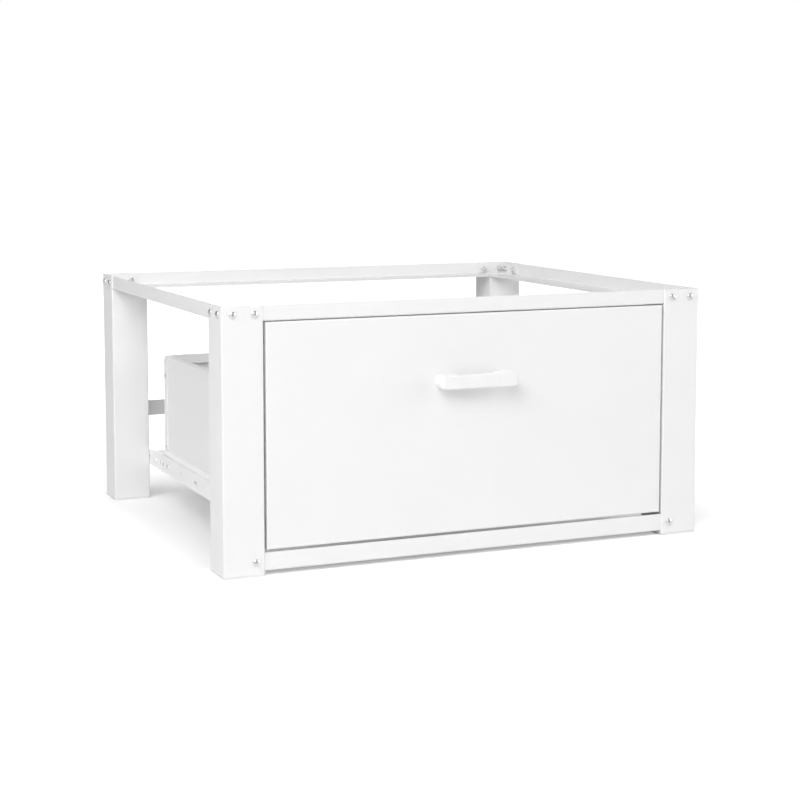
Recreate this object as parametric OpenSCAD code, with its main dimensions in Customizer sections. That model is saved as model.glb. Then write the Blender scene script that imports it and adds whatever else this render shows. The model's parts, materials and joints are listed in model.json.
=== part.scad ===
// Pedestal with a drawer for a front-loading washing machine.
// Folded, powder-coated sheet steel frame, screwed together at the corners,
// with a sheet steel drawer on single-extension roller slides.
// Units are millimetres. +Z is up, the drawer front faces -Y.
// The row origin is under the middle of the whole object, on the floor.
// Every module is drawn from the frame's front left floor corner and moved
// to the row origin by place().

/* [Overall] */
// Width across the posts
width = 630; // [600:1:680]
// Depth across the posts
depth = 540; // [530:1:600]
// Height from the floor to the top of the rim
height = 313; // [300:1:360]

/* [Posts and rails] */
// Side of the square posts
post = 50; // [48:1:56]
// Sheet thickness of posts and rails
sheet = 1.5; // [1.2:0.1:1.6]
// Outside radius of the folds
fold_r = 2; // [1.8:0.1:3]
// Height of the upright rim around the machine
rim_h = 18; // [18:0.5:22]
// Height of the bottom rail and of the rear cross bar
low_rail_h = 21.5; // [18:0.5:26]
// Depth of the flange of the bottom rail
low_rail_d = 20; // [14:1:26]
// Height of the bottom rail's lower edge above the floor
low_rail_z = 6; // [6:0.5:10]
// Height of the cross bar's lower edge above the floor
bar_z = 109.5; // [90:0.5:160]
// Thickness of the plastic cap under each post
cap_t = 3; // [2:0.5:3.5]

/* [Corner brackets] */
// Height of the bracket's seat above the rail flange
seat_h = 2.3; // [2:0.1:2.4]
// Inner edge of the bracket's seat, from the post's outer corner
seat_b = 36; // [34:0.5:38]

/* [Frame screws] */
// First screw, from the post's outer corner
screw_a = 13; // [13:0.5:14]
// Second screw, from the post's outer corner
screw_b = 39; // [36:0.5:42]
// Radius of the machine screws' heads
head_r = 4.25; // [3.8:0.05:4.6]
// Height of the machine screws' heads
head_h = 2.8; // [2:0.1:3.2]

/* [Drawer front] */
// Gap at each side of the drawer front
gap_side = 3; // [2:0.1:4]
// Gap above the drawer front
gap_top = 1.5; // [1.5:0.1:4]
// Gap below the drawer front
gap_bottom = 3.2; // [2:0.1:4]
// Depth of the folded drawer front
front_d = 16; // [14:0.5:18]
// Sheet thickness of the drawer front
front_t = 1.2; // [1:0.1:1.4]

/* [Drawer box] */
// Room for the slide at each side of the drawer box
slide_room = 12.5; // [12.5:0.1:13.5]
// Sheet thickness of the drawer box
box_t = 1; // [0.8:0.1:1.2]
// Height of the top of the drawer box above the floor
box_top = 205; // [180:1:240]
// Distance of the drawer box's rear edge from the front of the frame
box_rear = 452; // [440:1:460]
// Width of the hem around the top of the drawer box
hem_w = 10; // [9:0.5:14]
// Height of the hem's inner lip
hem_h = 12; // [8:0.5:14]

/* [Roller slides] */
// Lower edge of the fixed member above the floor
slide_z = 48.5; // [46:0.5:58]
// Height of the fixed member
slide_h = 23.5; // [23:0.1:25]
// Length of the fixed member
slide_len = 500; // [495:1:505]
// Sheet thickness of the slide members
slide_t = 1.2; // [1:0.1:1.3]
// Radius of the nylon rollers
roller_r = 9.7; // [9:0.1:9.8]
// Radius of the roller pins
pin_r = 2.5; // [2:0.1:3]
// How far the drawer runs out
travel = 340; // [250:5:350]

/* [Handle] */
// Length of the handle
handle_len = 102; // [90:1:140]
// How far the handle stands out
handle_d = 21; // [18:0.5:30]
// Height of the handle's face
handle_h = 16.5; // [14:0.5:22]
// Length of each foot of the handle
handle_foot = 26; // [20:1:30]
// Thickness of the handle's bar
handle_bar = 8; // [6:0.5:9]
// Height of the handle's middle above the floor
handle_z = 214.3; // [180:0.1:240]

/* [Hidden] */
$fn = 48;
e = 0.1;                          // assembly slack between neighbouring sheets
ymid = (depth + head_h - handle_d) / 2;
rail_z = height - rim_h;          // underside of the top rails
hole_r = 2.25;                    // clearance hole for the machine screws
shank_r = 2;                      // machine screw shank
shank_l = 10;                     // machine screw length under the head
screw_z = rail_z + rim_h / 2 - 1;
low_screw_z = low_rail_z + low_rail_h / 2 + 0.25;
bar_screw_z = bar_z + low_rail_h / 2 + 0.8;
nut_af = 7;
nut_h = 3.2;
bore_r = pin_r + 0.05;            // running fit of the rollers
// slide levels
run_z = slide_z + slide_t;        // floor of the fixed member's channel
flange_z = slide_z + slide_h + 0.5; // underside of the moving member's running flange
rear_axle_z = run_z + 0.3 + roller_r;
front_axle_z = flange_z - 0.3 - roller_r;
slide_y0 = front_d + 1;
slide_y1 = slide_y0 + slide_len;
front_axle_y = slide_y0 + 20;
rear_axle_y = box_rear - 12;
slide_screw_y = [slide_y0 + 5.5, slide_y1 - 12];
slide_screw_z = slide_z + 11;
web_x = post + slide_room - slide_t;  // outer face of the moving member's web
box_x = post + slide_room;            // outer face of the drawer side
base_z = slide_z + 4.5;               // underside of the moving member's support flange
box_z = base_z + slide_t;             // underside of the drawer side
floor_z = box_z + box_t;              // underside of the drawer bottom
front_z0 = low_rail_z + low_rail_h + gap_bottom;
front_z1 = rail_z - gap_top;
front_x0 = post + gap_side;
box_screw_z = [flange_z + slide_t + 5, box_top - 27];
base_screw_y = [60, 235, 420];
back_z = flange_z + slide_t + 1.3;    // lower edge of the rear wall's outer flanges
handle_pitch = handle_len - handle_foot;

// ---- helpers ----
module place() translate([-width / 2, -ymid, 0]) children();
module flip_x() translate([width, 0, 0]) mirror([1, 0, 0]) children();
module flip_y() translate([0, depth, 0]) mirror([0, 1, 0]) children();
// rounded rectangle with true arcs
module rrect(w, h, r) {
  translate([r, 0]) square([w - 2 * r, h]);
  translate([0, r]) square([w, h - 2 * r]);
  for (x = [r, w - r], y = [r, h - r]) translate([x, y]) circle(r);
}
// angle section, corner at the origin, legs along +X (a) and +Y (b)
module angle2d(a, b, t, r) {
  difference() {
    union() {
      translate([r, 0]) square([a - r, t]);
      translate([0, r]) square([t, b - r]);
      intersection() {
        translate([r, r]) circle(r);
        square([r + 0.01, r + 0.01]);
      }
    }
    translate([r, r]) circle(r - t);
  }
}
module rod_x(r, l) rotate([0, 90, 0]) cylinder(r = r, h = l);
module rod_y(r, l) rotate([-90, 0, 0]) cylinder(r = r, h = l);
// horizontal slot through a web that stands across X, centred
module slot_x(len, r, d) {
  translate([0, -len / 2 + r, 0]) rod_x(r, d);
  translate([0, len / 2 - r, 0]) rod_x(r, d);
  translate([0, -len / 2 + r, -r]) cube([d, len - 2 * r, 2 * r]);
}
// upright slot through a web that stands across X, centred
module slot_z(len, r, d) {
  translate([0, 0, -len / 2 + r]) rod_x(r, d);
  translate([0, 0, len / 2 - r]) rod_x(r, d);
  translate([0, -r, -len / 2 + r]) cube([d, 2 * r, len - 2 * r]);
}

// ---- posts ----
// Front left post. The two inner sides stop under the rails, the two outer
// sheets run on to the top of the rim.
module post_shape() {
  difference() {
    translate([0, 0, cap_t]) linear_extrude(height - cap_t) difference() {
      rrect(post, post, fold_r);
      translate([sheet, sheet]) rrect(post - 2 * sheet, post - 2 * sheet, fold_r - sheet + 0.1);
    }
    translate([sheet, sheet, rail_z]) cube([post, post, rim_h + 1]);
    for (p = [screw_a, screw_b]) {
      translate([p, -1, screw_z]) rod_y(hole_r, sheet + 2);
      translate([-1, p, screw_z]) rod_x(hole_r, sheet + 2);
    }
  }
}
// tongue: level of the low rail's slot in the post's inner side
module post_any(tongue_z, tongue_screw_z, screw_y) {
  difference() {
    post_shape();
    translate([post - sheet - 1, sheet - e, tongue_z - 0.4])
      cube([sheet + 2, sheet + 3 * e, low_rail_h + 0.8]);
    translate([screw_b, -1, tongue_screw_z]) rod_y(hole_r, sheet + 2);
    translate([post - sheet - 1, screw_y, slide_screw_z]) rod_x(2.05, sheet + 2);
  }
}
module post_front() post_any(low_rail_z, low_screw_z, slide_screw_y[0]);
module post_rear() post_any(bar_z, bar_screw_z, depth - slide_screw_y[1]);
module post_front_left() color("white") place() post_front();
module post_front_right() color("white") place() flip_x() post_front();
module post_rear_left() color("white") place() flip_y() post_rear();
module post_rear_right() color("white") place() flip_x() flip_y() post_rear();

// ---- caps under the posts ----
module cap_shape() {
  linear_extrude(cap_t) rrect(post, post, fold_r);
  translate([0, 0, cap_t]) linear_extrude(2.4) difference() {
    translate([sheet + 0.3, sheet + 0.3]) square(post - 2 * sheet - 0.6);
    translate([sheet + 3, sheet + 3]) square(post - 2 * sheet - 6);
  }
}
module foot_cap_front_left() color("gainsboro") place() cap_shape();
module foot_cap_front_right() color("gainsboro") place() flip_x() cap_shape();
module foot_cap_rear_left() color("gainsboro") place() flip_y() cap_shape();
module foot_cap_rear_right() color("gainsboro") place() flip_x() flip_y() cap_shape();

// ---- top rails: rim outside, wide flange under it, mitred at the corners ----
// left rail, drawn along +Y
module side_rail() {
  difference() {
    translate([sheet, depth - sheet, rail_z]) rotate([90, 0, 0])
      linear_extrude(depth - 2 * sheet) angle2d(post - sheet, rim_h, sheet, fold_r);
    // mitres of the flange, clear of the upright rim
    for (m = [0, 1]) translate([0, m * depth, 0]) mirror([0, m, 0])
      translate([2 * sheet, 2 * sheet, rail_z - 1]) linear_extrude(sheet + 1.6)
        polygon([[0, -2 * sheet], [post, -2 * sheet], [post, post + e], [0, e]]);
    for (p = [screw_a, screw_b, depth - screw_b, depth - screw_a])
      translate([0, p, screw_z]) rod_x(hole_r, 2 * sheet + 1);
  }
}
// front rail, drawn along +X, its rim butts on the side rails' rims
module cross_rail() {
  difference() {
    translate([2 * sheet + e, sheet, rail_z]) rotate([90, 0, 90])
      linear_extrude(width - 4 * sheet - 2 * e) angle2d(post - sheet, rim_h, sheet, fold_r);
    for (m = [0, 1]) translate([m * width, 0, 0]) mirror([m, 0, 0])
      translate([2 * sheet, 2 * sheet, rail_z - 1]) linear_extrude(sheet + 1.6)
        polygon([[-sheet, -e], [-sheet, post], [post + e, post], [e, -e]]);
    for (p = [screw_a, screw_b, width - screw_b, width - screw_a])
      translate([p, 0, screw_z]) rod_y(hole_r, 2 * sheet + 1);
  }
}
module rail_top_left() color("white") place() side_rail();
module rail_top_right() color("white") place() flip_x() side_rail();
module rail_top_front() color("white") place() cross_rail();
module rail_top_rear() color("white") place() flip_y() cross_rail();

// ---- corner brackets: raised seat, inner edges turned down, outer turned up ----
module bracket_shape() {
  a = 2 * sheet + e;            // against the rims
  b = seat_b;                   // inner edge
  l = post - 2.6 - a;           // length of the upturned sides
  z0 = rail_z + sheet;          // on the rail flanges
  z1 = z0 + seat_h;
  difference() {
    union() {
      translate([a, a, z1 - sheet]) cube([b - a, b - a, sheet]);
      translate([b - sheet, a + sheet, z0]) cube([sheet, b - a - sheet, seat_h]);
      translate([a + sheet, b - sheet, z0]) cube([b - a - sheet, sheet, seat_h]);
      translate([a, a, z1 - sheet]) cube([sheet, l, height - 3 - z1 + sheet]);
      translate([a, a, z1 - sheet]) cube([l, sheet, height - 3 - z1 + sheet]);
    }
    for (p = [screw_a, screw_b]) {
      translate([p, a - 1, screw_z]) rod_y(hole_r, sheet + 2);
      translate([a - 1, p, screw_z]) rod_x(hole_r, sheet + 2);
    }
  }
}
module corner_bracket_front_left() color("white") place() bracket_shape();
module corner_bracket_front_right() color("white") place() flip_x() bracket_shape();
module corner_bracket_rear_left() color("white") place() flip_y() bracket_shape();
module corner_bracket_rear_right() color("white") place() flip_x() flip_y() bracket_shape();

// ---- bottom rail and rear cross bar, with a tongue at each end ----
// the bottom rail is an angle, the cross bar a flat bar
module low_rail(z, screw_z1, flange) {
  x0 = post + 0.2;
  difference() {
    union() {
      if (flange) translate([x0, sheet, z]) rotate([90, 0, 90])
        linear_extrude(width - 2 * x0) angle2d(low_rail_d, low_rail_h, sheet, fold_r);
      translate([screw_b - 8, sheet, z]) cube([width - 2 * (screw_b - 8), sheet, low_rail_h]);
    }
    for (p = [screw_b, width - screw_b])
      translate([p, 0, screw_z1]) rod_y(hole_r, 2 * sheet + 1);
    // the fold's radius runs along the visible stretch only
    if (flange) translate([x0, sheet - 1, z - 1]) difference() {
      cube([width - 2 * x0, fold_r + 1, fold_r + 1]);
      translate([-1, fold_r + 1, fold_r + 1]) rod_x(fold_r, width);
    }
  }
}
module rail_bottom_front() color("white") place() low_rail(low_rail_z, low_screw_z, true);
module cross_bar_rear() color("white") place() flip_y() low_rail(bar_z, bar_screw_z, false);

// ---- machine screws and nuts ----
// drawn along +Y: head outside at y < 0, shank inward
module bolt() {
  difference() {
    rotate([-90, 0, 0]) rotate_extrude() {
      intersection() {
        translate([0, 6.6 - head_h]) circle(6.6);
        translate([0, -head_h]) square([head_r, head_h]);
      }
      polygon([[0, -0.5], [shank_r, -0.5], [shank_r, shank_l - 0.8],
        [shank_r - 0.8, shank_l], [0, shank_l]]);
    }
    translate([-2.3, -head_h - 1, -0.5]) cube([4.6, 2.5, 1]);
    translate([-0.5, -head_h - 1, -2.3]) cube([1, 2.5, 4.6]);
  }
}
// drawn along +Y from y = 0
module nut() {
  rotate([-90, 0, 0]) difference() {
    cylinder(d = nut_af / cos(30), h = nut_h, $fn = 6);
    translate([0, 0, -1]) cylinder(r = shank_r + 0.05, h = nut_h + 2);
  }
}
module four_corners() {
  children();
  flip_x() children();
  flip_y() children();
  flip_x() flip_y() children();
}
module frame_bolts() color("silver") place() {
  four_corners() for (p = [screw_a, screw_b]) {
    translate([p, 0, screw_z]) bolt();
    translate([0, p, screw_z]) rotate([0, 0, -90]) bolt();
  }
  translate([screw_b, 0, low_screw_z]) bolt();
  flip_x() translate([screw_b, 0, low_screw_z]) bolt();
  flip_y() translate([screw_b, 0, bar_screw_z]) bolt();
  flip_x() flip_y() translate([screw_b, 0, bar_screw_z]) bolt();
}
module frame_nuts() color("silver") place() {
  y3 = 3 * sheet + e;
  four_corners() for (p = [screw_a, screw_b]) {
    translate([p, y3, screw_z]) nut();
    translate([y3, p, screw_z]) rotate([0, 0, -90]) nut();
  }
  translate([screw_b, 2 * sheet, low_screw_z]) nut();
  flip_x() translate([screw_b, 2 * sheet, low_screw_z]) nut();
  flip_y() translate([screw_b, 2 * sheet, bar_screw_z]) nut();
  flip_x() flip_y() translate([screw_b, 2 * sheet, bar_screw_z]) nut();
}

// ---- fixed slide member: channel open towards the drawer ----
module cabinet_member() {
  z1 = slide_z + slide_h;
  top_y0 = front_axle_y + roller_r + 3;
  top_y1 = 392;
  stop_y = rear_axle_y - travel - roller_r - 0.5;
  difference() {
    union() {
      // web
      translate([post, slide_y0, slide_z]) cube([slide_t, slide_len, slide_h]);
      // running floor
      translate([post, slide_y0, slide_z]) cube([10.2, slide_len, slide_t]);
      // top flange, behind the front roller and in front of the rear end
      translate([post, top_y0, z1 - slide_t]) cube([7.5, top_y1 - top_y0, slide_t]);
      // front stop, bent down out of the top flange
      translate([post + 2.8, stop_y - 1.5, z1 - 9]) cube([4.7, 1.5, 9]);
      // rear stop, bent out of the web
      translate([post, rear_axle_y + roller_r + 0.5, run_z + 3]) cube([6, 1.5, 10]);
      // boss of the roller pin
      translate([post, front_axle_y, front_axle_z]) rod_x(5, 1.7);
    }
    // rounding of the flange's fold
    translate([post - 1, top_y0, z1 - 2.4]) difference() {
      cube([3.4, top_y1 - top_y0, 3.4]);
      translate([3.4, -1, 0]) rod_y(2.4, top_y1);
    }
    // sloping rear end
    translate([post - 1, 0, 0]) rotate([90, 0, 90]) linear_extrude(14)
      polygon([[464, z1], [slide_y1 + 1, z1 - 7.5], [slide_y1 + 1, z1 + 1], [464, z1 + 1]]);
    // pin hole
    translate([post - 1, front_axle_y, front_axle_z]) rod_x(pin_r, 4);
    // fixing holes
    for (y = slide_screw_y) translate([post - 1, y, slide_screw_z]) rod_x(2.4, 3);
    // spare holes and slots punched in the web
    translate([post - 1, 488, slide_screw_z]) rod_x(2.4, 3);
    translate([post - 1, 460.5, slide_screw_z - 1]) slot_x(11, 2, 3);
    translate([post - 1, 435.5, slide_screw_z - 1]) slot_z(9, 2, 3);
    translate([post - 1, 420.5, slide_screw_z - 1]) slot_z(7.5, 2, 3);
    translate([post - 1, 399, slide_screw_z - 0.5]) slot_x(13, 2.1, 3);
    translate([post - 1, 339, slide_screw_z]) rod_x(2.6, 3);
    translate([post - 1, 270, slide_screw_z]) slot_x(14, 2.1, 3);
    translate([post - 1, 174, slide_screw_z]) rod_x(2.6, 3);
    translate([post - 1, 110, slide_screw_z]) slot_x(14, 2.1, 3);
  }
}
module slide_cabinet_left() color("white") place() cabinet_member();
module slide_cabinet_right() color("white") place() flip_x() cabinet_member();

// pan-head screw along -X: underside of the head at x = 0, head towards +X
module tapper(r = 2, l = 9, hr = 3.6, hh = 2) {
  difference() {
    rotate([0, 90, 0]) rotate_extrude() {
      intersection() {
        translate([0, hh - 5.4]) circle(5.4);
        square([hr, hh]);
      }
      polygon([[0, -l], [0.4, -l], [r, 2 - l], [r, 0.5], [0, 0.5]]);
    }
    translate([hh - 1.1, -1.9, -0.45]) cube([2, 3.8, 0.9]);
    translate([hh - 1.1, -0.45, -1.9]) cube([2, 0.9, 3.8]);
  }
}
module slide_screws() color("silver") place() {
  for (y = slide_screw_y) {
    translate([post + slide_t, y, slide_screw_z]) tapper();
    flip_x() translate([post + slide_t, y, slide_screw_z]) tapper();
  }
}

// ---- roller pins and rollers ----
module pin_frame() {
  translate([post, front_axle_y, front_axle_z]) {
    rod_x(pin_r - 0.02, 9.4);
    translate([9.2, 0, 0]) rod_x(4, 1.2);
  }
}
module roller_pins_frame() color("silver") place() {
  pin_frame();
  flip_x() pin_frame();
}
module pin_drawer() {
  translate([web_x - 9.3, rear_axle_y, rear_axle_z]) {
    rod_x(pin_r - 0.02, 9.3 + slide_t - 0.05);
    translate([0, 0, 0]) rod_x(4, 1.1);
  }
}
module roller_pins_drawer() color("silver") place() {
  pin_drawer();
  flip_x() pin_drawer();
}
// roller along +X, recessed at its outer end for the pin's head
module roller(recess_at_end) {
  rotate([0, 90, 0]) difference() {
    rotate_extrude() polygon([
      [bore_r, recess_at_end ? 0 : 1.4], [4.8, recess_at_end ? 0 : 1.4],
      [4.8, 0.4], [roller_r - 0.8, 0.4], [roller_r, 1.2], [roller_r, 6.8],
      [roller_r - 0.8, 7.6], [4.8, 7.6], [4.8, recess_at_end ? 6.6 : 8],
      [bore_r, recess_at_end ? 6.6 : 8]]);
    if (recess_at_end) translate([0, 0, 6.6]) cylinder(r = 4.79, h = 3);
    else translate([0, 0, -1.6]) cylinder(r = 4.79, h = 3);
  }
}
module roller_front() translate([post + 2.2, front_axle_y, front_axle_z]) roller(true);
module roller_rear() translate([web_x - 9.3, rear_axle_y, rear_axle_z]) roller(false);
module roller_front_left() color("whitesmoke") place() roller_front();
module roller_front_right() color("whitesmoke") place() flip_x() roller_front();
module roller_rear_left() color("whitesmoke") place() roller_rear();
module roller_rear_right() color("whitesmoke") place() flip_x() roller_rear();

// ---- moving slide member: running flange outside, support flange under the box ----
module drawer_member() {
  l = box_rear - slide_y0 - e;
  difference() {
    union() {
      translate([web_x, slide_y0, base_z]) cube([slide_t, l, flange_z + slide_t - base_z]);
      translate([post + 1, slide_y0, flange_z]) cube([slide_room - 1, l, slide_t]);
      translate([web_x, slide_y0, base_z]) cube([16, l, slide_t]);
      // boss of the roller pin
      translate([web_x - 0.5, rear_axle_y, rear_axle_z]) rod_x(4.6, 1);
    }
    translate([web_x - 1, rear_axle_y, rear_axle_z]) rod_x(pin_r, 4);
    for (y = base_screw_y) translate([box_x + 8, y, base_z - 1]) cylinder(r = 2.2, h = 4);
  }
}
module slide_drawer_left() color("white") place() drawer_member();
module slide_drawer_right() color("white") place() flip_x() drawer_member();

// ---- drawer front: folded tray, closed face to the front ----
module drawer_front() color("white") place() {
  w = width - 2 * front_x0;
  h = front_z1 - front_z0;
  r = fold_r;
  difference() {
    intersection() {
      translate([front_x0, 0, front_z0]) linear_extrude(h) union() {
        translate([0, r]) square([w, front_d - r]);
        translate([r, 0]) square([w - 2 * r, front_d]);
        translate([r, r]) circle(r);
        translate([w - r, r]) circle(r);
      }
      translate([front_x0, 0, front_z0]) rotate([90, 0, 90]) linear_extrude(w) union() {
        translate([r, 0]) square([front_d - r, h]);
        translate([0, r]) square([front_d, h - 2 * r]);
        translate([r, r]) circle(r);
        translate([r, h - r]) circle(r);
      }
    }
    translate([front_x0 + front_t, front_t, front_z0 + front_t])
      cube([w - 2 * front_t, front_d - 2 * front_t, h - 2 * front_t]);
    translate([front_x0 + 32, front_t, front_z0 + 15])
      cube([w - 64, front_d, h - 30]);
    for (s = [-1, 1]) translate([width / 2 + s * handle_pitch / 2, -1, handle_z]) rod_y(2.2, front_t + 2);
    for (x = [box_x + 12, width - box_x - 12], z = box_screw_z)
      translate([x, front_d - front_t - 1, z]) rod_y(2.05, front_t + 2);
  }
}

// ---- drawer box ----
// wall behind the drawer front, with flanges inside the side walls and a box hem
// between the side hems, both towards +Y
module front_wall() {
  x0 = box_x + box_t + e;
  x1 = box_x + hem_w + e + 0.4;
  y0 = front_d + e;
  low = box_top - hem_h - 0.6;
  difference() {
    union() {
      translate([x0, y0, floor_z]) cube([width - 2 * x0, box_t, low - floor_z]);
      translate([x1, y0, low - 1]) cube([width - 2 * x1, box_t, box_top - low + 1]);
      translate([x1, y0, box_top - box_t]) cube([width - 2 * x1, hem_w - 3, box_t]);
      translate([x1, y0 + hem_w - 3 - box_t, box_top - hem_h]) cube([width - 2 * x1, box_t, hem_h]);
      for (m = [0, 1]) translate([m * width, 0, 0]) mirror([m, 0, 0])
        translate([x0, y0, floor_z + 2]) cube([box_t, 13, low - floor_z - 2]);
    }
    for (m = [0, 1]) translate([m * width, 0, 0]) mirror([m, 0, 0]) for (z = box_screw_z)
      translate([x0 - 1, y0 + 6.6, z]) rod_x(2.05, box_t + 2);
  }
}
module drawer_inner_front() color("white") place() difference() {
  front_wall();
  for (x = [box_x + 12, width - box_x - 12], z = box_screw_z)
    translate([x, front_d - 1, z]) rod_y(2.2, box_t + 3);
}
// rear wall: its flanges lap round the outside of the side walls
module rear_wall() {
  x0 = box_x + box_t + e;
  x1 = box_x + hem_w + e + 0.4;
  x2 = box_x - box_t;
  y1 = box_rear - box_t;
  lap = 13;
  difference() {
    union() {
      translate([x0, y1, floor_z]) cube([width - 2 * x0, box_t, back_z - floor_z + 1]);
      translate([x2, y1, back_z]) cube([width - 2 * x2, box_t, box_top - 4 - back_z]);
      translate([x1, y1, box_top - 5]) cube([width - 2 * x1, box_t, 5]);
      translate([x1, box_rear - hem_w + 3, box_top - box_t]) cube([width - 2 * x1, hem_w - 3, box_t]);
      translate([x1, box_rear - hem_w + 3, box_top - hem_h]) cube([width - 2 * x1, box_t, hem_h]);
      for (m = [0, 1]) translate([m * width, 0, 0]) mirror([m, 0, 0])
        translate([x2, box_rear - lap, back_z]) cube([box_t, lap, box_top - 4 - back_z]);
    }
    for (m = [0, 1]) translate([m * width, 0, 0]) mirror([m, 0, 0]) for (z = box_screw_z)
      translate([x2 - 1, box_rear - 7.1, z]) rod_x(2.2, box_t + 2);
  }
}
module drawer_back() color("white") place() rear_wall();

module side_wall() {
  y0 = front_d + e;
  l = box_rear - box_t - e - y0;
  difference() {
    union() {
      translate([box_x, y0, box_z]) cube([box_t, l, box_top - box_z]);
      translate([box_x, y0, box_top - box_t]) cube([hem_w, l, box_t]);
      translate([box_x + hem_w - box_t, y0, box_top - hem_h]) cube([box_t, l, hem_h]);
      translate([box_x, y0, box_z]) cube([14, l, box_t]);
    }
    // small bevel at the rear top corner
    translate([box_x - 1, box_rear - 0.1, box_top - 3]) rotate([45, 0, 0]) cube([hem_w + 2, 4, 5.7]);
    for (z = box_screw_z) {
      translate([box_x - 1, y0 + 6.6, z]) rod_x(2.2, box_t + 2);
      translate([box_x - 1, box_rear - 7.1, z]) rod_x(2.05, box_t + 2);
    }
    for (y = base_screw_y) translate([box_x + 8, y, box_z - 1]) cylinder(r = 2.2, h = box_t + 2);
  }
}
module drawer_side_left() color("white") place() side_wall();
module drawer_side_right() color("white") place() flip_x() side_wall();

module drawer_bottom() color("white") place() {
  x0 = box_x + 2 * box_t + 2 * e;
  y0 = front_d + box_t + 2 * e;
  l = box_rear - front_d - 2 * box_t - 4 * e;
  difference() {
    union() {
      translate([x0, y0, floor_z]) cube([width - 2 * x0, l, box_t]);
      translate([x0 + 12, y0, floor_z]) cube([width - 2 * x0 - 24, box_t, 11]);
      translate([x0 + 12, y0 + l - box_t, floor_z]) cube([width - 2 * x0 - 24, box_t, 11]);
      // stiffening beads
      for (k = [1:3]) intersection() {
        translate([x0 + 45, y0 + k * l / 4, floor_z + box_t - 4.6]) rod_x(6, width - 2 * x0 - 90);
        translate([x0, y0, floor_z]) cube([width - 2 * x0, l, 10]);
      }
    }
    for (x = [box_x + 8, width - box_x - 8], y = base_screw_y)
      translate([x, y, floor_z - 1]) cylinder(r = 2.05, h = box_t + 2);
  }
}

// ---- screws of the drawer ----
module drawer_screws() color("silver") place() {
  for (m = [0, 1]) translate([m * width, 0, 0]) mirror([m, 0, 0]) {
    for (z = box_screw_z) {
      translate([box_x, front_d + e + 6.6, z]) rotate([0, 0, 180]) tapper(l = 7);
      translate([box_x - box_t, box_rear - 7.1, z]) rotate([0, 0, 180]) tapper(l = 7);
      translate([box_x + 12, front_d + e + box_t, z]) rotate([0, 0, 90]) tapper(l = 7);
    }
  }
}
module slide_drawer_screws() color("silver") place() {
  for (x = [box_x + 8, width - box_x - 8], y = base_screw_y)
    translate([x, y, base_z]) rotate([0, 90, 0]) tapper(l = 6);
}

// ---- handle: bridge with two feet and a finger gap ----
module handle() color("white") place() {
  r = 4;
  x0 = width / 2 - handle_len / 2;
  gap = handle_len - 2 * handle_foot;
  difference() {
    intersection() {
      // face outline
      translate([x0, 0, handle_z - handle_h / 2]) rotate([90, 0, 0])
        linear_extrude(handle_d) rrect(handle_len, handle_h, r);
      // plan outline, rounded to the front
      translate([x0, -handle_d, handle_z - handle_h / 2]) linear_extrude(handle_h) union() {
        translate([0, 5]) square([handle_len, handle_d - 5]);
        translate([5, 0]) square([handle_len - 10, handle_d]);
        for (x = [5, handle_len - 5]) translate([x, 5]) circle(5);
      }
    }
    // finger gap with rounded inner corners
    translate([width / 2, 0, handle_z - handle_h]) linear_extrude(2 * handle_h) {
      g = handle_d - handle_bar;
      translate([-gap / 2, -g + 5]) square([gap, g]);
      translate([-gap / 2 + 5, -g]) square([gap - 10, g + 1]);
      for (s = [-1, 1]) translate([s * (gap / 2 - 5), -g + 5]) circle(5);
    }
    for (s = [-1, 1]) translate([width / 2 + s * handle_pitch / 2, -14, handle_z]) rod_y(2.05, 15);
  }
}
module handle_screws() color("silver") place() {
  for (s = [-1, 1]) translate([width / 2 + s * handle_pitch / 2, front_t, handle_z])
    rotate([0, 0, 90]) tapper(l = 13);
}

post_front_left();
post_front_right();
post_rear_left();
post_rear_right();
foot_cap_front_left();
foot_cap_front_right();
foot_cap_rear_left();
foot_cap_rear_right();
rail_top_front();
rail_top_rear();
rail_top_left();
rail_top_right();
corner_bracket_front_left();
corner_bracket_front_right();
corner_bracket_rear_left();
corner_bracket_rear_right();
rail_bottom_front();
cross_bar_rear();
frame_bolts();
frame_nuts();
slide_cabinet_left();
slide_cabinet_right();
slide_screws();
roller_pins_frame();
roller_front_left();
roller_front_right();
drawer_front();
drawer_inner_front();
drawer_back();
drawer_side_left();
drawer_side_right();
drawer_bottom();
slide_drawer_left();
slide_drawer_right();
roller_pins_drawer();
roller_rear_left();
roller_rear_right();
drawer_screws();
slide_drawer_screws();
handle();
handle_screws();
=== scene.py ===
import json
import math
import random

import bmesh
import bpy
from mathutils import Matrix, Vector


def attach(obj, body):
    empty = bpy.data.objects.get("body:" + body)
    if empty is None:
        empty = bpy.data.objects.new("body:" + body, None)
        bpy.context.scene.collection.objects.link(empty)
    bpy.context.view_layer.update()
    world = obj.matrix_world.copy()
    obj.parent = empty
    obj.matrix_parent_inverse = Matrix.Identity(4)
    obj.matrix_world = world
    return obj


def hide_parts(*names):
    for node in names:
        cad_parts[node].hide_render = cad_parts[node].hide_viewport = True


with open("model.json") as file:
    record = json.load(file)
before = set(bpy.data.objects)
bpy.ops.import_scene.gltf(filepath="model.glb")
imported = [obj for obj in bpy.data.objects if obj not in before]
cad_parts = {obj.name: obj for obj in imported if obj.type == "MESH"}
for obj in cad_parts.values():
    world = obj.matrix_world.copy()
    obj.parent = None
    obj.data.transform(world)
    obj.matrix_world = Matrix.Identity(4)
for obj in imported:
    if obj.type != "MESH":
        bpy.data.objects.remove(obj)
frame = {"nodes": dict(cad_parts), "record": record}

scene = bpy.context.scene
nodes = frame["nodes"]
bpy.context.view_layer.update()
rng = random.Random(7)

# The solids are drawn in millimetres from the frame's front left floor corner.
WIDTH, DEPTH, YMID = 630.0, 540.0, 260.9


def row(x, y, z):
    """A point in the drawing's millimetres, in the row frame in metres."""
    return Vector(((x - WIDTH / 2) / 1000, (y - YMID) / 1000, z / 1000))


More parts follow.
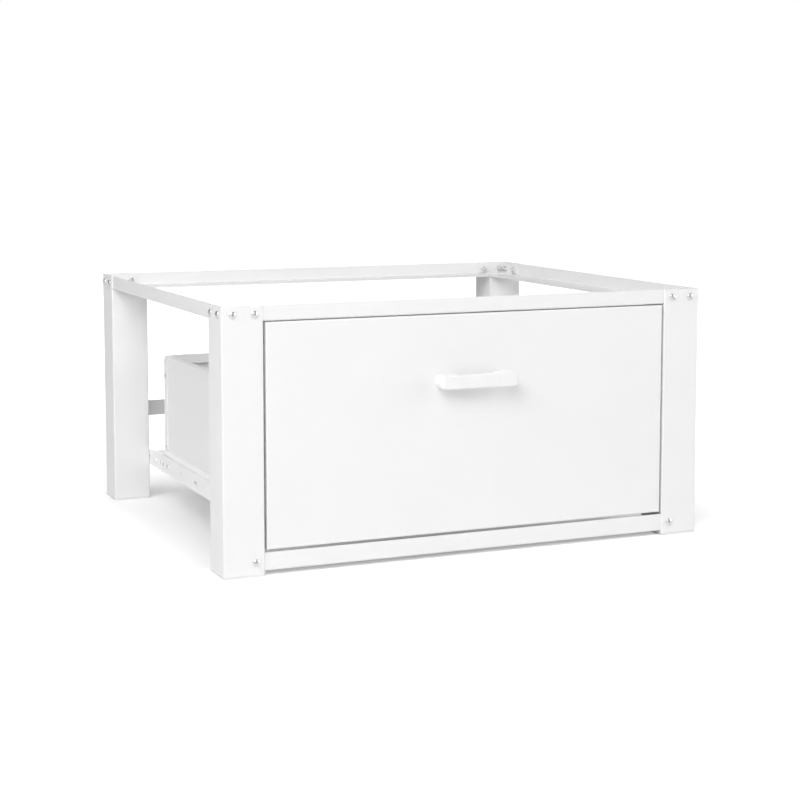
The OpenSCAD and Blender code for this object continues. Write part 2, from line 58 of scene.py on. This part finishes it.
# ---------------------------------------------------------------- camera
cam_data = bpy.data.cameras.new("camera")
cam = bpy.data.objects.new("camera", cam_data)
scene.collection.objects.link(cam)
cam.location = (-0.9153, -2.1437, 0.4984)
cam.rotation_euler = (math.radians(90 - 5.8115), 0.0, math.radians(-23.5102))
cam_data.sensor_width = 36.0
cam_data.lens = 79.332
cam_data.shift_y = -0.10
cam_data.clip_start = 0.05
cam_data.clip_end = 60.0
scene.camera = cam

scene.view_settings.view_transform = "Standard"
scene.view_settings.look = "None"
scene.view_settings.exposure = 0.0
scene.view_settings.gamma = 1.0

# ---------------------------------------------------------------- studio
world = bpy.data.worlds.new("studio")
scene.world = world
world.use_nodes = True
wt = world.node_tree
wt.nodes.clear()
w_out = wt.nodes.new("ShaderNodeOutputWorld")
w_mix = wt.nodes.new("ShaderNodeMixShader")
w_path = wt.nodes.new("ShaderNodeLightPath")
w_light = wt.nodes.new("ShaderNodeBackground")
w_seen = wt.nodes.new("ShaderNodeBackground")
w_light.name, w_seen.name = "ambient", "seen"
w_light.inputs["Color"].default_value = (1, 1, 1, 1)
w_light.inputs["Strength"].default_value = 0.26
w_seen.inputs["Color"].default_value = (1, 1, 1, 1)
w_seen.inputs["Strength"].default_value = 1.0
wt.links.new(w_path.outputs["Is Camera Ray"], w_mix.inputs["Fac"])
wt.links.new(w_light.outputs["Background"], w_mix.inputs[1])
wt.links.new(w_seen.outputs["Background"], w_mix.inputs[2])
wt.links.new(w_mix.outputs["Shader"], w_out.inputs["Surface"])


def softbox(name, place, aim, size, power):
    data = bpy.data.lights.new(name, "AREA")
    data.shape = "RECTANGLE"
    data.size, data.size_y = size
    data.energy = power
    data.color = (1, 1, 1)
    o = bpy.data.objects.new(name, data)
    scene.collection.objects.link(o)
    o.location = place
    o.rotation_euler = (Vector(aim) - Vector(place)).to_track_quat("-Z", "Y").to_euler()
    o.visible_camera = False
    return o


def around(elevation, azimuth, reach=3.2):
    """A place on a dome over the object; azimuth 0 is in front, + is to the right."""
    e, a = math.radians(elevation), math.radians(azimuth)
    return (reach * math.sin(a) * math.cos(e), -reach * math.cos(a) * math.cos(e), reach * math.sin(e) + 0.15)


MIDDLE = (0, 0, 0.15)
softbox("front_left", around(36, -30), MIDDLE, (1.7, 1.7), 36.5)
softbox("side_left", around(34, -60), MIDDLE, (1.5, 1.5), 32.0)
softbox("high_left", around(65, -60), MIDDLE, (1.7, 1.7), 9.0)
softbox("low_right", around(16, 60), MIDDLE, (1.7, 1.7), 29.0)
softbox("high_back", around(65, 120), MIDDLE, (1.7, 1.7), 8.0)
softbox("back", around(32, 175), MIDDLE, (1.7, 1.7), 10.0)


# ---------------------------------------------------------------- materials
def shader(name):
    m = bpy.data.materials.new(name)
    m.use_nodes = True
    t = m.node_tree
    t.nodes.clear()
    out = t.nodes.new("ShaderNodeOutputMaterial")
    bsdf = t.nodes.new("ShaderNodeBsdfPrincipled")
    t.links.new(bsdf.outputs["BSDF"], out.inputs["Surface"])
    where = t.nodes.new("ShaderNodeTexCoord")
    return m, t, bsdf, where


def noise(t, where, scale, detail=2.0, rough=0.5, stretch=None):
    n = t.nodes.new("ShaderNodeTexNoise")
    n.inputs["Scale"].default_value = scale
    n.inputs["Detail"].default_value = detail
    n.inputs["Roughness"].default_value = rough
    if stretch:
        mp = t.nodes.new("ShaderNodeMapping")
        mp.inputs["Scale"].default_value = stretch
        t.links.new(where.outputs["Object"], mp.inputs["Vector"])
        t.links.new(mp.outputs["Vector"], n.inputs["Vector"])
    else:
        t.links.new(where.outputs["Object"], n.inputs["Vector"])
    return n.outputs["Fac"]


def spread(t, fac, lo, hi, a=0.3, b=0.7):
    r = t.nodes.new("ShaderNodeMapRange")
    r.inputs["From Min"].default_value = a
    r.inputs["From Max"].default_value = b
    r.inputs["To Min"].default_value = lo
    r.inputs["To Max"].default_value = hi
    t.links.new(fac, r.inputs["Value"])
    return r.outputs["Result"]


def ramp(t, fac, stops):
    r = t.nodes.new("ShaderNodeValToRGB")
    e = r.color_ramp.elements
    while len(e) < len(stops):
        e.new(0.5)
    for k, (p, c) in enumerate(stops):
        e[k].position = p
        e[k].color = (*c, 1)
    t.links.new(fac, r.inputs["Fac"])
    return r.outputs["Color"]


def blend_rgb(t, fac, a, b, kind="MIX"):
    m = t.nodes.new("ShaderNodeMix")
    m.data_type = "RGBA"
    m.blend_type = kind
    if isinstance(fac, float):
        m.inputs["Factor"].default_value = fac
    else:
        t.links.new(fac, m.inputs["Factor"])
    for sock, v in ((m.inputs[6], a), (m.inputs[7], b)):
        if isinstance(v, tuple):
            sock.default_value = (*v, 1)
        else:
            t.links.new(v, sock)
    return m.outputs[2]


def bumps(t, bsdf, *layers):
    """layers: (height, strength, distance in metres), coarse to fine"""
    last = None
    for height, strength, dist in layers:
        b = t.nodes.new("ShaderNodeBump")
        b.inputs["Strength"].default_value = strength
        b.inputs["Distance"].default_value = dist
        t.links.new(height, b.inputs["Height"])
        if last:
            t.links.new(last, b.inputs["Normal"])
        last = b.outputs["Normal"]
    t.links.new(last, bsdf.inputs["Normal"])


def powder_coat(name, tone=1.0, rough=0.40):
    """White powder coat on sheet steel: fine orange peel, faint clouding, a dull gloss."""
    m, t, bsdf, where = shader(name)
    cloud = noise(t, where, 9, 3, 0.6)
    speck = noise(t, where, 1500, 2, 0.6)
    c1 = ramp(t, cloud, [(0.25, (0.868 * tone, 0.868 * tone, 0.870 * tone)),
                         (0.75, (0.888 * tone, 0.888 * tone, 0.888 * tone))])
    c2 = ramp(t, speck, [(0.30, (0.972, 0.972, 0.972)), (0.62, (1, 1, 1))])
    t.links.new(blend_rgb(t, 1.0, c1, c2, "MULTIPLY"), bsdf.inputs["Base Color"])
    peel = noise(t, where, 620, 3, 0.55)
    t.links.new(spread(t, noise(t, where, 240, 3, 0.6), rough - 0.04, rough + 0.06), bsdf.inputs["Roughness"])
    bumps(t, bsdf,
          (noise(t, where, 14, 2, 0.5), 0.20, 0.0004),
          (peel, 0.16, 0.00010))
    bsdf.inputs["IOR"].default_value = 1.50
    return m


def moulded(name, colour, rough, grain=1800, dark=0.03):
    m, t, bsdf, where = shader(name)
    r, g, b = colour
    base = ramp(t, noise(t, where, 60, 3, 0.6),
                [(0.3, (r - dark * r, g - dark * g, b - dark * b)), (0.7, (r, g, b))])
    t.links.new(base, bsdf.inputs["Base Color"])
    t.links.new(spread(t, noise(t, where, 300, 3, 0.6), rough - 0.05, rough + 0.07), bsdf.inputs["Roughness"])
    bumps(t, bsdf,
          (noise(t, where, 45, 2, 0.5), 0.15, 0.0002),
          (noise(t, where, grain, 2, 0.6), 0.25, 0.00006))
    bsdf.inputs["IOR"].default_value = 1.49
    return m


def zinc(name, tint=(0.90, 0.905, 0.92)):
    """Bright zinc plate: slightly cloudy, with fine crystals and handling marks."""
    m, t, bsdf, where = shader(name)
    r, g, b = tint
    base = ramp(t, noise(t, where, 420, 4, 0.65),
                [(0.25, (r * 0.82, g * 0.82, b * 0.83)), (0.75, (r, g, b))])
    t.links.new(base, bsdf.inputs["Base Color"])
    bsdf.inputs["Metallic"].default_value = 1.0
    t.links.new(spread(t, noise(t, where, 900, 4, 0.7), 0.26, 0.44), bsdf.inputs["Roughness"])
    bumps(t, bsdf, (noise(t, where, 2600, 3, 0.6), 0.25, 0.00004))
    return m


coat = powder_coat("powder_coat_white")
# a lighter copy of the white powder coat for the slides: the raised tone is painted light that makes the slides read
# brighter than the lamps leave them; the lower roughness is a separate setting
slide_coat_painted_lighter = powder_coat("powder_coat_slide", 1.05, 0.36)
handle_mat = moulded("handle_plastic_white", (0.89, 0.89, 0.89), 0.36)
foot_mat = moulded("foot_cap_plastic", (0.80, 0.80, 0.80), 0.48)
nylon_mat = moulded("nylon_natural", (0.84, 0.84, 0.81), 0.42)
zinc_mat = zinc("zinc_plate")

# ---------------------------------------------------------------- carried-over solids
SKIN = {
    "powder_coat": coat,
    "foot_plastic": foot_mat,
    "nylon": nylon_mat,
    "zinc": zinc_mat,
    "handle_plastic": handle_mat,
}
SLOT = {s["node"]: s["material_slot"] for s in frame["record"]["subparts"]}
EDGE = {"nylon": 0.0003, "foot_plastic": 0.0004}


def soften(o, width, segments=2):
    weld = o.modifiers.new("weld", "WELD")
    weld.merge_threshold = 0.000002
    flat = o.modifiers.new("flats", "DECIMATE")
    flat.decimate_type = "DISSOLVE"
    flat.angle_limit = math.radians(0.6)
    bev = o.modifiers.new("edges", "BEVEL")
    bev.limit_method = "ANGLE"
    bev.angle_limit = math.radians(35)
    bev.width = width
    bev.segments = segments
    bev.use_clamp_overlap = True
    wn = o.modifiers.new("shade", "WEIGHTED_NORMAL")
    wn.mode = "FACE_AREA"
    wn.weight = 50
    wn.keep_sharp = False


for name, o in nodes.items():
    s = SLOT[name]
    mat = slide_coat_painted_lighter if name.startswith("slide_cabinet") or name.startswith("slide_drawer_l") or name.startswith("slide_drawer_r") else SKIN[s]
    for k in range(len(o.material_slots)):
        o.material_slots[k].material = mat
    soften(o, EDGE.get(s, 0.00025))


# ---------------------------------------------------------------- mesh helpers
def lathe(bm, rings, segs):
    """rings: functions or numbers for the radius at each level along +Y; returns rows of vertices."""
    rows = []
    for r, y in rings:
        rows.append([])
        for k in range(segs):
            a = 2 * math.pi * k / segs
            rr = r(a) if callable(r) else r
            yy = y(a) if callable(y) else y
            rows[-1].append(bm.verts.new((rr * math.cos(a), yy, rr * math.sin(a))))
    for a, b in zip(rows, rows[1:]):
        for k in range(segs):
            bm.faces.new((a[k], b[k], b[(k + 1) % segs], a[(k + 1) % segs]))
    return rows


def cap(bm, ring, y, flip=False):
    c = bm.verts.new((0, y, 0))
    n = len(ring)
    for k in range(n):
        f = (ring[k], ring[(k + 1) % n], c)
        bm.faces.new(tuple(reversed(f)) if flip else f)


def finish_mesh(bm, name, smooth_deg=35):
    bmesh.ops.recalc_face_normals(bm, faces=bm.faces)
    me = bpy.data.meshes.new(name)
    for e in bm.edges:
        if len(e.link_faces) == 2 and e.calc_face_angle(0) > math.radians(smooth_deg):
            e.smooth = False
    for f in bm.faces:
        f.smooth = True
    bm.to_mesh(me)
    bm.free()
    return me


def tapered_box(w0, l0, w1, l1, y0, y1):
    """Box from y0 to y1 (along +Y), w x l at y0 and at y1, as a mesh for cutting."""
    bm = bmesh.new()
    v = []
    for y, w, l in ((y0, w0, l0), (y1, w1, l1)):
        for x, z in ((-w, -l), (w, -l), (w, l), (-w, l)):
            v.append(bm.verts.new((x / 2, y, z / 2)))
    for f in ((0, 1, 2, 3), (7, 6, 5, 4), (0, 4, 5, 1), (1, 5, 6, 2), (2, 6, 7, 3), (3, 7, 4, 0)):
        bm.faces.new([v[i] for i in f])
    bmesh.ops.recalc_face_normals(bm, faces=bm.faces)
    me = bpy.data.meshes.new("cutter")
    bm.to_mesh(me)
    bm.free()
    return me


def cut(me, cutters):
    """The mesh with the cutters taken away, as a new mesh."""
    o = bpy.data.objects.new("blank", me)
    scene.collection.objects.link(o)
    made = []
    for c in cutters:
        co = bpy.data.objects.new("cutter", c)
        scene.collection.objects.link(co)
        co.hide_render = True
        md = o.modifiers.new("cut", "BOOLEAN")
        md.operation = "DIFFERENCE"
        md.solver = "EXACT"
        md.object = co
        made.append(co)
    bpy.context.view_layer.update()
    dg = bpy.context.evaluated_depsgraph_get()
    new = bpy.data.meshes.new_from_object(o.evaluated_get(dg))
    for x in [o, *made]:
        bpy.data.objects.remove(x)
    return new


def screw_mesh(name, head_r, head_h, dome_r, shank_r, length, pitch, tip, slot_w, slot_l, slot_d, segs=28):
    """Pan-head screw along +Y: underside of the head at y = 0, head towards -Y. Millimetres."""
    bm = bmesh.new()
    rings = []
    # dome, from the middle outwards
    top = dome_r - head_h
    rim_a = math.asin(min(1, (head_r - 0.35) / dome_r))
    n = 7
    for k in range(1, n + 1):
        a = rim_a * k / n
        rings.append((dome_r * math.sin(a), top - dome_r * math.cos(a)))
    r_end, y_end = rings[-1]
    rings.append((head_r - 0.10, y_end + 0.16))
    rings.append((head_r, y_end + 0.42))
    rings.append((head_r, -0.22))
    rings.append((head_r - 0.06, -0.06))
    rings.append((head_r - 0.22, 0.0))
    rings.append((shank_r + 0.25, 0.0))
    core = shank_r * 0.84

    def thread(y):
        def r(a):
            ph = (y / pitch - a / (2 * math.pi)) % 1
            w = 1 - abs(2 * ph - 1)
            grow = min(1.0, max(0.0, (y - 0.2) / (0.6 * pitch)))
            fade = 1.0 if y < length - tip else max(0.0, (length - y) / tip)
            ridge = core + (shank_r - 0.02 - core) * min(1.0, w * 1.25) * grow
            return ridge * (0.25 + 0.75 * fade) if tip > 1.2 else ridge - 0.5 * (1 - fade)
        return r

    rings.append((core, 0.18))
    steps = int((length - 0.4) / pitch * 6)
    for k in range(steps + 1):
        y = 0.3 + (length - 0.3) * k / steps
        rings.append((thread(y), y))
    rows = lathe(bm, rings, segs)
    cap(bm, rows[0], -head_h)
    cap(bm, rows[-1], length + (0.4 if tip > 1.2 else 0.0), True)
    me = finish_mesh(bm, name + "_blank", 40)
    cutters = [
        tapered_box(slot_w * 1.15, slot_l, slot_w * 0.8, slot_l * 0.42, -head_h - 0.6, -head_h + slot_d),
        tapered_box(slot_l, slot_w * 1.15, slot_l * 0.42, slot_w * 0.8, -head_h - 0.6, -head_h + slot_d),
    ]
    return cut(me, cutters)


def nut_mesh(name, af, h, bore):
    """Chamfered hexagon nut along +Y from y = 0, flats across Z. Millimetres."""
    bm = bmesh.new()
    segs = 48

    def hexr(a):
        return af / 2 / math.cos(((a + math.pi / 6) % (math.pi / 3)) - math.pi / 6)

    def turn(a):
        return a + math.pi / 6

    def out(a):
        return hexr(turn(a))

    def low(a):
        return (out(a) - af / 2 * 0.985) * 0.577

    def high(a):
        return h - low(a)

    face = af / 2 * 0.985
    rings = [(bore, 0.45), (bore + 0.45, 0.0), (face, 0.0), (out, low), (out, high),
             (face, h), (bore + 0.45, h), (bore, h - 0.45), (bore, 0.45)]
    rows = lathe(bm, rings[:-1], segs)
    a, b = rows[-1], rows[0]
    for k in range(segs):
        bm.faces.new((a[k], b[k], b[(k + 1) % segs], a[(k + 1) % segs]))
    return finish_mesh(bm, name, 25)


def place_all(name, me, spots, body, node, mat):
    """One object with a copy of the mesh at each spot: (point in the row frame, axis, roll)."""
    bm = bmesh.new()
    for point, axis, roll in spots:
        axis = Vector(axis).normalized()
        up = Vector((0, 0, 1)) if abs(axis.z) < 0.9 else Vector((0, 1, 0))
        side = axis.cross(up).normalized()
        rot = Matrix((side, axis, side.cross(axis))).transposed().to_4x4()
        m = Matrix.Translation(point) @ rot @ Matrix.Rotation(roll, 4, "Y") @ Matrix.Scale(0.001, 4)
        part = bmesh.new()
        part.from_mesh(me)
        part.transform(m)
        tmp = bpy.data.meshes.new("tmp")
        part.to_mesh(tmp)
        part.free()
        bm.from_mesh(tmp)
        bpy.data.meshes.remove(tmp)
    out = bpy.data.meshes.new(name)
    bm.to_mesh(out)
    bm.free()
    o = bpy.data.objects.new(name, out)
    scene.collection.objects.link(o)
    out.materials.clear()
    out.materials.append(mat)
    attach(o, body)
    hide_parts(node)
    return o


# ---------------------------------------------------------------- screws and nuts
CORNERS = ((0, 0), (1, 0), (0, 1), (1, 1))
SCREW_A, SCREW_B, SCREW_Z = 13.0, 39.0, 303.0
LOW_Z, BAR_Z = 17.0, 121.05
bolt_spots, nut_spots = [], []
for mx, my in CORNERS:
    for p in (SCREW_A, SCREW_B):
        x, y = (WIDTH - p if mx else p), (DEPTH - p if my else p)
        fy, fx = (DEPTH if my else 0.0), (WIDTH if mx else 0.0)
        dy, dx = (-1 if my else 1), (-1 if mx else 1)
        bolt_spots.append((row(x, fy, SCREW_Z), (0, dy, 0), rng.uniform(0, 1.57)))
        bolt_spots.append((row(fx, y, SCREW_Z), (dx, 0, 0), rng.uniform(0, 1.57)))
        nut_spots.append((row(x, fy + dy * 4.6, SCREW_Z), (0, dy, 0), 0.0))
        nut_spots.append((row(fx + dx * 4.6, y, SCREW_Z), (dx, 0, 0), 0.0))
    x = WIDTH - SCREW_B if mx else SCREW_B
    z = BAR_Z if my else LOW_Z
    bolt_spots.append((row(x, DEPTH if my else 0.0, z), (0, -1 if my else 1, 0), rng.uniform(0, 1.57)))
    nut_spots.append((row(x, (DEPTH - 3.0) if my else 3.0, z), (0, -1 if my else 1, 0), rng.uniform(0, 1.0)))

bolt = screw_mesh("machine_screw", 4.25, 2.8, 6.6, 2.0, 10.0, 0.7, 0.8, 0.95, 4.4, 1.35)
place_all("machine_screws", bolt, bolt_spots, "frame", "frame_bolts", zinc_mat)
place_all("hex_nuts", nut_mesh("nut", 7.0, 3.2, 2.05), nut_spots, "frame", "frame_nuts", zinc_mat)


def tap_mesh(length):
    return screw_mesh("tap%d" % length, 3.6, 2.0, 5.4, 2.0, float(length), 1.4, 2.0, 0.85, 3.8, 1.15, 24)


POST, SLIDE_T, BOX_X = 50.0, 1.2, 62.5
BOX_ZS, BASE_YS = (78.7, 178.0), (60.0, 235.0, 420.0)
spots = []
for y in (22.5, 505.0):
    spots.append((row(POST + SLIDE_T, y, 59.5), (-1, 0, 0), rng.uniform(0, 1.57)))
    spots.append((row(WIDTH - POST - SLIDE_T, y, 59.5), (1, 0, 0), rng.uniform(0, 1.57)))
place_all("slide_fixing_screws", tap_mesh(9), spots, "frame", "slide_screws", zinc_mat)

spots = []
for mx in (0, 1):
    sx = -1 if mx else 1
    for x, y in ((BOX_X, 22.7), (BOX_X - 1.0, 444.9)):  # the rear flange laps round the side
        for z in BOX_ZS:
            spots.append((row(WIDTH - x if mx else x, y, z), (sx, 0, 0), rng.uniform(0, 1.57)))
    for z in BOX_ZS:
        spots.append((row(WIDTH - BOX_X - 12 if mx else BOX_X + 12, 17.1, z), (0, -1, 0), rng.uniform(0, 1.57)))
place_all("drawer_box_screws", tap_mesh(7), spots, "drawer", "drawer_screws", zinc_mat)

spots = [(row(x, y, 53.0), (0, 0, 1), rng.uniform(0, 1.57)) for x in (BOX_X + 8, WIDTH - BOX_X - 8) for y in BASE_YS]
place_all("slide_base_screws", tap_mesh(6), spots, "drawer", "slide_drawer_screws", zinc_mat)

spots = [(row(WIDTH / 2 + s * 38.0, 1.2, 214.3), (0, -1, 0), rng.uniform(0, 1.57)) for s in (-1, 1)]
place_all("handle_fixing_screws", tap_mesh(13), spots, "drawer", "handle_screws", zinc_mat)


# ---------------------------------------------------------------- handle
def make_handle():
    """Bridge handle with two feet: a cage with a set radius on each edge."""
    length, d, h, foot, bar, zc = 102.0, 21.0, 16.5, 26.0, 8.0, 214.3
    x0, x1, x2, x3 = -length / 2, -length / 2 + foot, length / 2 - foot, length / 2
    g = -(d - bar)
    plan = [(x0, 0), (x0, -d), (x3, -d), (x3, 0), (x2, 0), (x2, g), (x1, g), (x1, 0)]
    bm = bmesh.new()
    low = [bm.verts.new((x, y, -h / 2)) for x, y in plan]
    top = [bm.verts.new((x, y, h / 2)) for x, y in plan]
    n = len(plan)
    for k in range(n):
        bm.faces.new((low[k], low[(k + 1) % n], top[(k + 1) % n], top[k]))
    for r in (low, top):
        bm.faces.new((r[0], r[1], r[6], r[7]))
        bm.faces.new((r[1], r[2], r[5], r[6]))
        bm.faces.new((r[2], r[3], r[4], r[5]))
    bmesh.ops.recalc_face_normals(bm, faces=bm.faces)
    weight = bm.edges.layers.float.new("bevel_weight_edge")
    bm.edges.ensure_lookup_table()
    for e in bm.edges:
        a, b = e.verts[0].co, e.verts[1].co
        if e.calc_face_angle(0) < 0.1:
            continue
        if abs(a.y) < 1e-6 and abs(b.y) < 1e-6:
            continue  # where the feet stand on the drawer front
        upright = abs(a.z - b.z) > 1
        if upright and a.y < -d + 1e-6:
            e[weight] = 0.70
        elif upright:
            e[weight] = 0.58
        elif abs(a.x - b.x) < 1e-6 and abs(abs(a.x) - length / 2) < 1e-6:
            e[weight] = 1.0  # the rounded ends of the bar
        else:
            e[weight] = 0.27
    bmesh.ops.scale(bm, vec=(0.001, 0.001, 0.001), verts=bm.verts)
    bmesh.ops.translate(bm, vec=row(WIDTH / 2, 0, zc), verts=bm.verts)
    me = bpy.data.meshes.new("bridge_handle")
    bm.to_mesh(me)
    bm.free()
    for p in me.polygons:
        p.use_smooth = True
    o = bpy.data.objects.new("bridge_handle", me)
    scene.collection.objects.link(o)
    b = o.modifiers.new("radii", "BEVEL")
    b.limit_method = "WEIGHT"
    b.width = 0.0070
    b.segments = 8
    b.profile = 0.5
    me.materials.append(handle_mat)
    bpy.context.view_layer.update()
    me = bpy.data.meshes.new_from_object(o.evaluated_get(bpy.context.evaluated_depsgraph_get()))
    o.modifiers.clear()
    o.data = me
    back = row(0, 0, 0).y
    for e in me.edges:  # the rim of the feet stays crisp where they stand on the drawer front
        e.use_edge_sharp = all(abs(me.vertices[i].co.y - back) < 1e-6 for i in e.vertices)
    wn = o.modifiers.new("shade", "WEIGHTED_NORMAL")
    wn.keep_sharp = True
    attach(o, "drawer")
    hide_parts("handle")
    return o


make_handle()

# ---------------------------------------------------------------- floor
fm, ft, fb, fw = shader("studio_floor")
ft.links.new(ramp(ft, noise(ft, fw, 3, 2, 0.5), [(0.3, (0.90, 0.90, 0.90)), (0.7, (0.915, 0.915, 0.915))]),
             fb.inputs["Base Color"])
fb.inputs["Roughness"].default_value = 0.9
fb.inputs["Specular IOR Level"].default_value = 0.1

# a white sweep by painted light: the floor's emission, seen only by the camera, clears it to white away from the
# footprint and paints a partial lift of the shadows inside the footprint and under the front rail; it throws no
# light itself


def calc(t, kind, a, b=0.0):
    m = t.nodes.new("ShaderNodeMath")
    m.operation = kind
    for sock, v in zip(m.inputs, (a, b)):
        if isinstance(v, float):
            sock.default_value = v
        else:
            t.links.new(v, sock)
    return m.outputs[0]


f_xyz = ft.nodes.new("ShaderNodeSeparateXYZ")
ft.links.new(fw.outputs["Object"], f_xyz.inputs[0])
f_out = calc(ft, "MAXIMUM",
             calc(ft, "SUBTRACT", calc(ft, "ABSOLUTE", f_xyz.outputs[0]), 0.315),
             calc(ft, "SUBTRACT", calc(ft, "ABSOLUTE", f_xyz.outputs[1]), 0.270))
# painted light: glow 0.30 deep inside the footprint lightens the shade under the unit, dips near its edges, then
# rises to near white further out
f_painted_light = ramp(ft, spread(ft, f_out, 0.0, 1.0, -0.20, 1.00),
              [(0.030, (0.30, 0.30, 0.30)), (0.100, (0.10, 0.10, 0.10)), (0.165, (0.14, 0.14, 0.14)),
               (0.205, (0.32, 0.32, 0.32)), (0.54, (0.95, 0.95, 0.95))])
# painted light: extra glow along the front edge lightens the shadow under the front rail
f_painted_light = calc(ft, "ADD", f_painted_light, spread(ft, f_xyz.outputs[1], 0.22, 0.0, -0.262, -0.190))
f_path = ft.nodes.new("ShaderNodeLightPath")
fb.inputs["Emission Color"].default_value = (1, 1, 1, 1)
ft.links.new(calc(ft, "MULTIPLY", f_painted_light, f_path.outputs["Is Camera Ray"]), fb.inputs["Emission Strength"])
bpy.ops.mesh.primitive_plane_add(size=24, location=(0, 0, 0))
floor = bpy.context.object
floor.name = "studio_floor"
floor.data.materials.append(fm)
